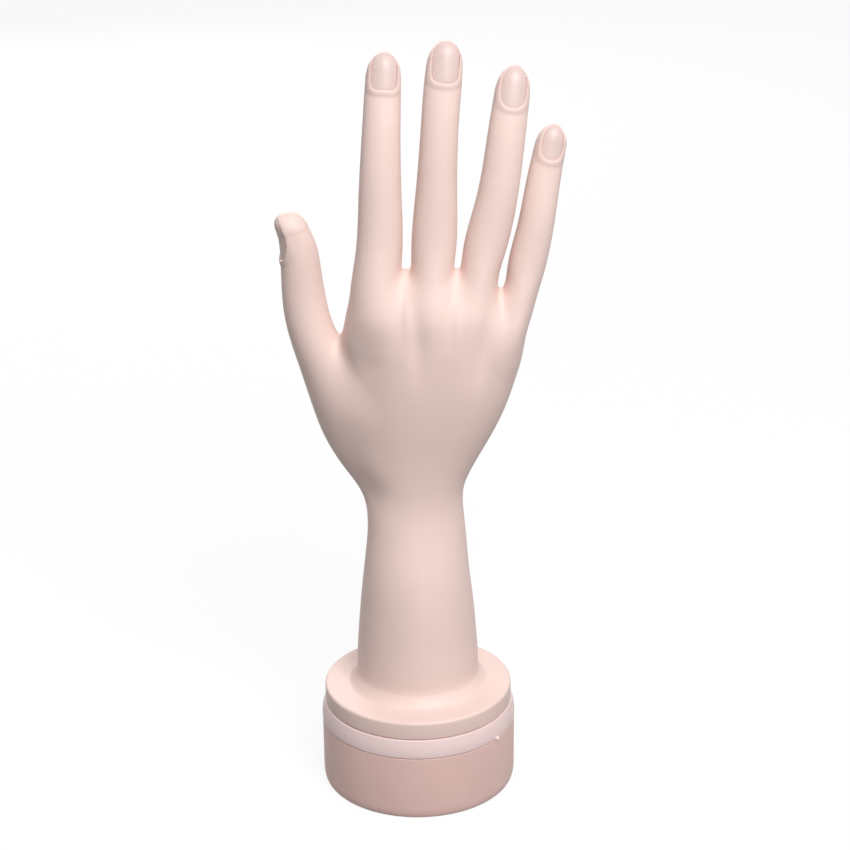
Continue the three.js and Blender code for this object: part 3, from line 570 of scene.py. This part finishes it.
def surface_net(distance, low, high, step):
    """Meshes where distance is zero: one point in each cell of a grid that the surface crosses."""
    counts = [math.ceil((b - a) / step) + 1 for a, b in zip(low, high)]
    axes = [a + step * np.arange(n) for a, n in zip(low, counts)]
    value = distance(np.stack(np.meshgrid(*axes, indexing="ij"), -1).reshape(-1, 3)).reshape(counts)
    cells = tuple(n - 1 for n in counts)
    total, hits = np.zeros(cells + (3,)), np.zeros(cells)
    for corner in np.ndindex(2, 2, 2):
        for axis in range(3):
            if corner[axis]:
                continue
            other = tuple(1 if k == axis else c for k, c in enumerate(corner))
            a, b = (value[tuple(slice(c, c + n) for c, n in zip(at, cells))] for at in (corner, other))
            crossed = (a < 0) != (b < 0)
            place = np.zeros(cells + (3,)) + corner
            place[..., axis] += a / np.where(crossed, a - b, 1)
            total += np.where(crossed[..., None], place, 0)
            hits += crossed
    used = hits > 0
    number = np.full(cells, -1)
    number[used] = np.arange(used.sum())
    points = np.array(low) + step * (np.argwhere(used) + total[used] / hits[used][:, None])
    faces = []
    for axis in range(3):
        one, two = (k for k in range(3) if k != axis)
        before = tuple(slice(0, -1) if k == axis else slice(None) for k in range(3))
        after = tuple(slice(1, None) if k == axis else slice(None) for k in range(3))
        starts = np.argwhere((value[before] < 0) != (value[after] < 0))
        inner = (starts[:, one] > 0) & (starts[:, one] < cells[one])
        inner &= (starts[:, two] > 0) & (starts[:, two] < cells[two])
        starts = starts[inner]
        outwards = (value[tuple(starts.T)] < 0) == (axis != 1)
        corners = []
        for back_one, back_two in ((1, 1), (0, 1), (0, 0), (1, 0)):
            cell = starts.copy()
            cell[:, one] -= back_one
            cell[:, two] -= back_two
            corners.append(number[tuple(cell.T)])
        quads = np.stack(corners, 1)
        quads[~outwards] = quads[~outwards][:, ::-1]
        faces.append(quads)
    return points, np.concatenate(faces)


def facing(distance, points, reach=0.05):
    """The way the distance grows fastest, and how fast."""
    moves = np.eye(3) * reach
    return np.stack([(distance(points + m) - distance(points - m)) / (2 * reach) for m in moves], 1)


def settled(distance, points, rounds):
    """Moves points onto the surface."""
    reach = 0.02
    for _ in range(rounds):
        here = distance(points)
        way = np.stack([(distance(points + m) - here) / reach for m in np.eye(3) * reach], 1)
        points = points - way * (here / np.maximum((way * way).sum(1), 1e-6))[:, None]
    return points


def evened(distance, points, faces, rounds=4):
    """Spreads the points of a mesh evenly over the surface."""
    for _ in range(rounds):
        total, count = np.zeros_like(points), np.zeros(len(points))
        for a in range(4):
            here, there = faces[:, a], faces[:, (a + 1) % 4]
            for one, other in ((here, there), (there, here)):
                count += np.bincount(one, minlength=len(points))
                for k in range(3):
                    total[:, k] += np.bincount(one, points[other, k], len(points))
        points = settled(distance, points + 0.5 * (total / np.maximum(count, 1)[:, None] - points), 1)
    return settled(distance, points, 2)


def skin_mesh(distance, low, high, step, cuts):
    """The surface inside that box, cut by planes.
    Each cut is a point on the plane, the way to what goes, and a test for the points that it may cut."""
    points, faces = surface_net(distance, low, high, step)
    points = evened(distance, settled(distance, points, 2), faces)
    bm = bmesh.new()
    made = [bm.verts.new(p) for p in points]
    for face in faces:
        bm.faces.new([made[i] for i in face])
    bm.verts.index_update()
    for place, way, reached in cuts:
        touched = reached(np.array([v.co for v in bm.verts]))
        faces_cut = [f for f in bm.faces if all(touched[v.index] for v in f.verts)]
        geometry = {*faces_cut}
        for f in faces_cut:
            geometry.update(f.edges)
            geometry.update(f.verts)
        bmesh.ops.bisect_plane(bm, geom=list(geometry), plane_co=place, plane_no=way, dist=1e-4)
        bm.verts.index_update()
        bm.verts.ensure_lookup_table()
        where = np.array([v.co for v in bm.verts])
        gone = ((where - place) @ way > 1e-3) & reached(where)
        bmesh.ops.delete(bm, geom=[v for v in bm.verts if gone[v.index]], context="VERTS")
        bm.verts.index_update()
    return bm


def skin_piece(name, bm, distance, turned_ways=None):
    """Keeps the largest shell of the mesh, closes it with flat ends and makes it a piece of the skin.
    turned_ways says how points face that were added to the meshed surface, as the flange's are."""
    left, shells = set(bm.verts), []
    while left:
        shell, edge = set(), [left.pop()]
        while edge:
            vertex = edge.pop()
            shell.add(vertex)
            for other in (e.other_vert(vertex) for e in vertex.link_edges):
                if other in left:
                    left.remove(other)
                    edge.append(other)
        shells.append(shell)
    largest = max(shells, key=len)
    bmesh.ops.delete(bm, geom=[v for v in bm.verts if v not in largest], context="VERTS")
    surface = len(bm.faces)
    open_edges = [e for e in bm.edges if e.is_boundary]
    bmesh.ops.holes_fill(bm, edges=open_edges, sides=0)
    bm.verts.index_update()
    bm.faces.index_update()
    bm.normal_update()
    points = np.array([v.co for v in bm.verts])
    ways = facing(distance, points)
    ways = ways / np.linalg.norm(ways, axis=1)[:, None]
    for vertex, way in (turned_ways or {}).items():
        ways[vertex.index] = way
    normals = []
    for face in bm.faces:
        for vertex in face.verts:
            normals.append(face.normal if face.index >= surface else ways[vertex.index])
    for vertex in bm.verts:
        vertex.co *= mm
    mesh = bpy.data.meshes.new(name)
    bm.to_mesh(mesh)
    bm.free()
    mesh.normals_split_custom_set([tuple(n) for n in normals])
    piece = bpy.data.objects.new(name, mesh)
    bpy.context.collection.objects.link(piece)
    finished(piece, skin_vinyl)
    return piece


skin_vinyl = moulded("skin_vinyl", (0.82, 0.63, 0.575), 0.5, mottle=0.025, grain=0.006, gloss=0.3)

# Hand: the forearm with its round flange, and the palm, one moulding that turns as a whole on the collar.
# The flange's top falls gently outwards from a tight sweep at the forearm, and its rim is rounded over.
skin_step = 1.2
root_cut = 4.5  # the fingers' own pieces begin this far below their root hinges
flange_radius = 38.9
flange_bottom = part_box("forearm_skin")[0].z / mm - seam_drop
flange_top = flange_bottom + 7 + seam_drop
flange_edge = 1.1
flange_foot_edge = 0.5
arm_cut = 52  # the flange is grown from the forearm's skin at this height
hand_box = (-58, -26, arm_cut - 4), (60, 26, 232)  # the room in which the hand is meshed
flange_outline = (
    [(25.2, 50), (25.3, 49.2), (25.5, 48.4), (26, 47.5), (26.9, 46.2), (27.8, 45.1)]
    + [(28.4, 44.5), (29.3, 44.1), (31, 43.9), (33.5, 43.75), (36, 43.6)]
    + rounded(flange_radius - flange_edge, flange_top - flange_edge, flange_edge, 90, 0, 8)
    + rounded(
        flange_radius - flange_foot_edge, flange_bottom + flange_foot_edge, flange_foot_edge, 0, -90, 4
    )
)
cut_reach = 3  # a cut across a digit keeps this near to its skin, and starts this far before its plane


def beyond(digit, place, way):
    """A test for the points of one digit that lie past a cut across it."""

    def reached(points):
        own = digit.distance(points)
        others = [other.distance(points) for other in digits.values() if other is not digit]
        mine = own < np.min(others, axis=0)
        return mine & (own < cut_reach) & ((points - place) @ way > -cut_reach)

    return reached


def everywhere(points):
    return np.ones(len(points), bool)


root_planes = {}
for digit, links in digit_links.items():
    joints = joint_names[len(links)]
    first, second = hinge[f"{digit}_{joints[0]}_bend"], hinge[f"{digit}_{joints[1]}_bend"]
    way = unit(second - first)
    root_planes[digit] = (first - way * root_cut, way)
hand_cuts = [(place, way, beyond(digits[digit], place, way)) for digit, (place, way) in root_planes.items()]
hand_cuts.append((np.array([0, 0, arm_cut]), np.array([0, 0, -1]), everywhere))
hand_mesh = skin_mesh(skin, *hand_box, skin_step, hand_cuts)
flange_ways = {}
ring = [e for e in hand_mesh.edges if e.is_boundary and all(abs(v.co.z - arm_cut) < 0.01 for v in e.verts)]
slopes = turned_normals(flange_outline[::-1])[::-1]
for station, (radius, height) in enumerate(flange_outline):
    way = slopes[min(station, len(slopes) - 1)][1 if station < len(slopes) else 0]
    grown = bmesh.ops.extrude_edge_only(hand_mesh, edges=ring)["geom"]
    ring = [g for g in grown if isinstance(g, bmesh.types.BMEdge) and g.is_boundary]
    for vertex in (g for g in grown if isinstance(g, bmesh.types.BMVert)):
        out = unit(np.array([vertex.co.x, vertex.co.y, 0]))
        vertex.co = (out[0] * radius, out[1] * radius, height)
        flange_ways[vertex] = (out[0] * way[0], out[1] * way[0], way[1])
hand_skin = skin_piece("hand_skin", hand_mesh, skin, flange_ways)
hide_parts("forearm_skin", "palm_skin")
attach(hand_skin, "hand")

# Nails: separate hard plates glued into a shallow seat in each fingertip, with a soft raised fold round it.
# They are a cool greyish beige, smoother and glossier than the skin, and slightly crowned.
nail_seat = 0.6
nail_sunk = 0.12
nail_thickness = 1.3
fold_height = 0.55
fold_width = 1.9
fold_flat = 0.3  # its crest is flat for this far out from the plate
fold_end = 0.95  # it has faded away at this share of the nail's half length, towards the tip
fold_fade = 0.7  # over this share
seat_wall = 0.08  # the seat's wall drops over about four times this
nail_side = 3.5  # fold and seat fade in over this height above the fingertip's middle


class Nail:
    """The place and outline of one nail plate. root_bend and tip_bend say how square its ends are:
    2 is an oval, and more is squarer."""

    def __init__(self, tip, below, back, turn, width, length, end_inset, root_bend, tip_bend):
        self.way = unit(tip - below)
        self.up = unit(back - (back @ self.way) * self.way)
        self.across = np.cross(self.way, self.up)
        self.up = self.up * math.cos(turn) + self.across * math.sin(turn)
        self.across = np.cross(self.way, self.up)
        self.middle = tip - self.way * (end_inset + length / 2)
        self.half, self.reach = width / 2, length / 2
        self.root_bend, self.tip_bend = root_bend, tip_bend

    def outside(self, points):
        """How far points are outside the outline, seen along the nail's own facing."""
        rel = points - self.middle
        a, b = rel @ self.across, rel @ self.way
        n = np.where(b < 0, self.root_bend, self.tip_bend)
        u, v = np.abs(a) / self.half + 1e-9, np.abs(b) / self.reach + 1e-9
        near = (u**n + v**n) ** (1 / n)
        steep = np.sqrt((u ** (n - 1) / self.half) ** 2 + (v ** (n - 1) / self.reach) ** 2)
        return (near - 1) * near ** (n - 1) / steep, b / self.reach, rel @ self.up

    def relief(self, points):
        """How far the skin is raised by the fold, and lowered by the seat."""
        q, along, rise = self.outside(points)
        fade = np.clip((fold_end - along) / fold_fade, 0, 1)
        fade = fold_height * fade * fade * (3 - 2 * fade)
        seat = (nail_seat + fade) / (1 + np.exp(np.minimum(q / seat_wall, 50)))
        fold = fade * np.exp(-((np.maximum(q - fold_flat, 0) / fold_width) ** 3))
        facing_out = np.clip(rise / nail_side, 0, 1)
        return (fold - seat) * facing_out * facing_out * (3 - 2 * facing_out)

    def rim(self, share, steps=72):
        """The outline's points on the plane of the nail, drawn in by a share of its size."""
        rim = []
        for i in range(steps):
            t = 2 * math.pi * i / steps
            c, s = math.cos(t), math.sin(t)
            n = self.root_bend if s < 0 else self.tip_bend
            size = (abs(c) ** n + abs(s) ** n) ** (-1 / n)
            sideways = self.across * c * size * self.half * share
            lengthways = self.way * s * size * self.reach * share
            rim.append(self.middle + sideways + lengthways)
        return np.array(rim)


def finger_nail(name, turn, *shape):
    digit = digits[name]
    below = hinge[f"{name}_end_bend"] - hinge_offset * palmward
    return Nail(digit.tip, below, -palmward, turn, *shape)


nails = {
    "index": finger_nail("index", math.radians(5), 10.0, 14.2, 0.6, 6, 2.5),
    "middle": finger_nail("middle", math.radians(3), 10.4, 15.9, 0.6, 4, 2.4),
    "ring": finger_nail("ring", math.radians(3), 9.7, 15.9, 0.7, 3, 2.3),
    "little": finger_nail("little", math.radians(6), 8.1, 13.4, 0.6, 3, 2.3),
    "thumb": Nail(
        digits["thumb"].tip, np.array([-43.9, 5.6, 222]), -thumb_palmward, 0, 10.5, 16.5, 1.2, 2.7, 2.3
    ),
}
nail_plastic = moulded("nail_plastic", (0.68, 0.52, 0.485), 0.4, mottle=0.02, grain=0.003, gloss=0.45)
# Each pair is a share of the outline, and how far it lies below the plate's face.
nail_face = [
    (0, 0), (0.25, 0), (0.5, 0), (0.7, 0), (0.84, 0),
    (0.92, 0.03), (0.965, 0.09), (0.99, 0.2), (1, 0.35), (1, 0.6),
]
nail_under = [(0.7, 0.8), (0.35, 1), (0, 1)]  # the same, with the depth as a share of its thickness
nail_start = 8  # the plate's points start this far above the fingertip's middle
nail_rounds = 8  # and come down onto the skin in so many steps
nail_step = 0.9


def nail_plate(name, nail):
    """The face follows the skin before its seat was cut; the underside lies in the seat."""
    rows = []
    for share, drop in nail_face + [(s, d * nail_thickness) for s, d in nail_under]:
        points = nail.rim(share) if share else nail.middle[None]
        points = points + nail.up * nail_start
        for _ in range(nail_rounds):
            near = skin(points)
            points = points - nail.up * near[:, None] * nail_step
        rows.append(points - nail.up * (nail_sunk + drop))
    mesh_points, faces, row_start = [], [], []
    for row in rows:
        row_start.append(len(mesh_points))
        mesh_points.extend(row * mm)
    for k in range(len(rows) - 1):
        here, there = row_start[k], row_start[k + 1]
        steps = max(len(rows[k]), len(rows[k + 1]))
        for i in range(steps):
            j = (i + 1) % steps
            if len(rows[k]) == 1:
                faces.append((here, there + i, there + j))
            elif len(rows[k + 1]) == 1:
                faces.append((here + i, there, here + j))
            else:
                faces.append((here + i, there + i, there + j, here + j))
    mesh = bpy.data.meshes.new(name)
    mesh.from_pydata([tuple(p) for p in mesh_points], [], faces)
    mesh.shade_smooth()
    piece = bpy.data.objects.new(name, mesh)
    bpy.context.collection.objects.link(piece)
    finished(piece, nail_plastic)
    return piece


# Digits: the skin of each finger is meshed as one soft piece across every knuckle, where the real skin
# bends and stays closed.
# Each piece ends halfway between two knuckles, where nothing moves, and meets the next without a step.
bend_reach = {
    "index": ((root_cut, 8), (9, 9), (6, 6)),
    "middle": ((root_cut, 8), (9, 9), (6, 6)),
    "ring": ((root_cut, 8), (9, 8), (6, 6)),
    "little": ((root_cut, 6.5), (7, 7), (5, 5)),
    "thumb": ((root_cut, 8), (6.5, 6.5)),
}
lap = 0.2  # neighbouring pieces lap by this much, so that no line shows between them
tip_step = 0.45
digit_step = 1.0
tip_room = 3  # the box that the last piece is meshed in is drawn to this far past the tip
around = np.array([12.5, 12.5, 4])  # and every box has this much more room all round
around_root = np.array([14, 17, 5])


def tip_skin(nail):
    return lambda points: skin(points) - nail.relief(points)


for name, links in digit_links.items():
    digit, nail = digits[name], nails[name]
    bends = [hinge[f"{name}_{joint}_bend"] for joint in joint_names[len(links)]]
    ends = bends[1:] + [digit.tip]
    ways = [unit(b - a) for a, b in zip(bends, ends)]
    below, bottom = "hand", root_planes[name]
    for i, link in enumerate(links):
        before, after = bend_reach[name][i]
        body = f"{name}_{link}"
        place, way = bottom
        cuts = [(place - way * lap, -way, everywhere)]
        last = i == len(links) - 1
        if last:
            top = digit.tip + tip_room * ways[i]
        else:
            length = np.linalg.norm(ends[i] - bends[i])
            top = bends[i] + ways[i] * (after + length - bend_reach[name][i + 1][0]) / 2
            cuts.append((top, ways[i], everywhere))
        room_round = around if i else around_root
        low = np.minimum(place, top) - room_round
        high = np.maximum(place, top) + room_round
        distance = tip_skin(nail) if last else skin
        mesh = skin_mesh(distance, low, high, tip_step if last else digit_step, cuts)
        piece = skin_piece(f"{body}_skin", mesh, distance)
        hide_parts(f"{body}_sleeve")
        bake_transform(piece)
        below, bottom = body, (top, ways[i])
    plate = nail_plate(f"{name}_nail_plate", nail)
    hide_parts(f"{name}_nail")
    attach(plate, below)

# Floor and light: a white sweep in a pale room, a large soft lamp above and in front, a weak one behind.
# What the camera sees of the floor is mostly white of its own, so that only a soft shadow stays on it.
floor_half = 6
floor_white = 0.95
floor_grey = 0.15  # what it throws back on the object
floor_own_white = 0.88
floor_mesh = bpy.data.meshes.new("white_floor")
corners = [(x * floor_half, y * floor_half, 0) for x, y in ((-1, -1), (1, -1), (1, 1), (-1, 1))]
floor_mesh.from_pydata(corners, [], [(0, 1, 2, 3)])
white_floor = bpy.data.objects.new("white_floor", floor_mesh)
bpy.context.collection.objects.link(white_floor)


def seen_directly(nodes, links):
    """1 for what the camera sees, straight, mirrored or through glass, and 0 for light on the object."""
    path = nodes.new("ShaderNodeLightPath")
    total = path.outputs["Is Camera Ray"]
    for name in ("Is Glossy Ray", "Is Transmission Ray"):
        add = nodes.new("ShaderNodeMath")
        add.operation = "MAXIMUM"
        links.new(total, add.inputs[0])
        links.new(path.outputs[name], add.inputs[1])
        total = add.outputs[0]
    return total


floor_paper = bpy.data.materials.new("floor_paper")
floor_paper.use_nodes = True
nodes, links = floor_paper.node_tree.nodes, floor_paper.node_tree.links
nodes.clear()
seen = seen_directly(nodes, links)
tone = nodes.new("ShaderNodeMapRange")
tone.inputs["To Min"].default_value = floor_grey
tone.inputs["To Max"].default_value = floor_white
links.new(seen, tone.inputs["Value"])
paper = nodes.new("ShaderNodeBsdfDiffuse")
links.new(tone.outputs["Result"], paper.inputs["Color"])
own_white = nodes.new("ShaderNodeEmission")
own_white.inputs["Strength"].default_value = 1
share = nodes.new("ShaderNodeMath")
share.operation = "MULTIPLY"
share.inputs[1].default_value = floor_own_white
links.new(seen, share.inputs[0])
mix = nodes.new("ShaderNodeMixShader")
links.new(share.outputs[0], mix.inputs["Fac"])
links.new(paper.outputs[0], mix.inputs[1])
links.new(own_white.outputs[0], mix.inputs[2])
links.new(mix.outputs[0], nodes.new("ShaderNodeOutputMaterial").inputs["Surface"])
floor_mesh.materials.append(floor_paper)

room_above = 0.5
room_below = 0.08
room = bpy.data.worlds.new("pale_room")
bpy.context.scene.world = room
room.use_nodes = True
nodes, links = room.node_tree.nodes, room.node_tree.links
nodes.clear()
look = nodes.new("ShaderNodeTexCoord")
split = nodes.new("ShaderNodeSeparateXYZ")
links.new(look.outputs["Generated"], split.inputs[0])
height = nodes.new("ShaderNodeMapRange")
height.interpolation_type = "SMOOTHSTEP"
height.inputs["From Min"].default_value = -0.25
height.inputs["From Max"].default_value = 0.25
height.inputs["To Min"].default_value = room_below
height.inputs["To Max"].default_value = room_above
links.new(split.outputs["Z"], height.inputs["Value"])
glow = nodes.new("ShaderNodeBackground")
links.new(height.outputs["Result"], glow.inputs["Strength"])
white = nodes.new("ShaderNodeBackground")
white.inputs["Strength"].default_value = 1
for background in (glow, white):
    background.inputs["Color"].default_value = (1, 1, 1, 1)
mix = nodes.new("ShaderNodeMixShader")
links.new(seen_directly(nodes, links), mix.inputs["Fac"])
links.new(glow.outputs[0], mix.inputs[1])
links.new(white.outputs[0], mix.inputs[2])
links.new(mix.outputs[0], nodes.new("ShaderNodeOutputWorld").inputs["Surface"])


def soft_lamp(name, place, aim, size, power):
    lamp = bpy.data.lights.new(name, "AREA")
    lamp.shape = "DISK"
    lamp.size = size
    lamp.energy = power
    holder = bpy.data.objects.new(name, lamp)
    holder.location = place
    holder.rotation_euler = (Vector(aim) - Vector(place)).to_track_quat("-Z", "Y").to_euler()
    bpy.context.collection.objects.link(holder)


hand_middle = (0, 0, 0.17)
soft_lamp("key_softbox", (0.385, -0.99, 1.24), hand_middle, 0.8, 20.3)
soft_lamp("back_softbox", (-0.4, 1.45, 0.72), hand_middle, 1.0, 7)

bpy.context.scene.view_settings.view_transform = "Standard"
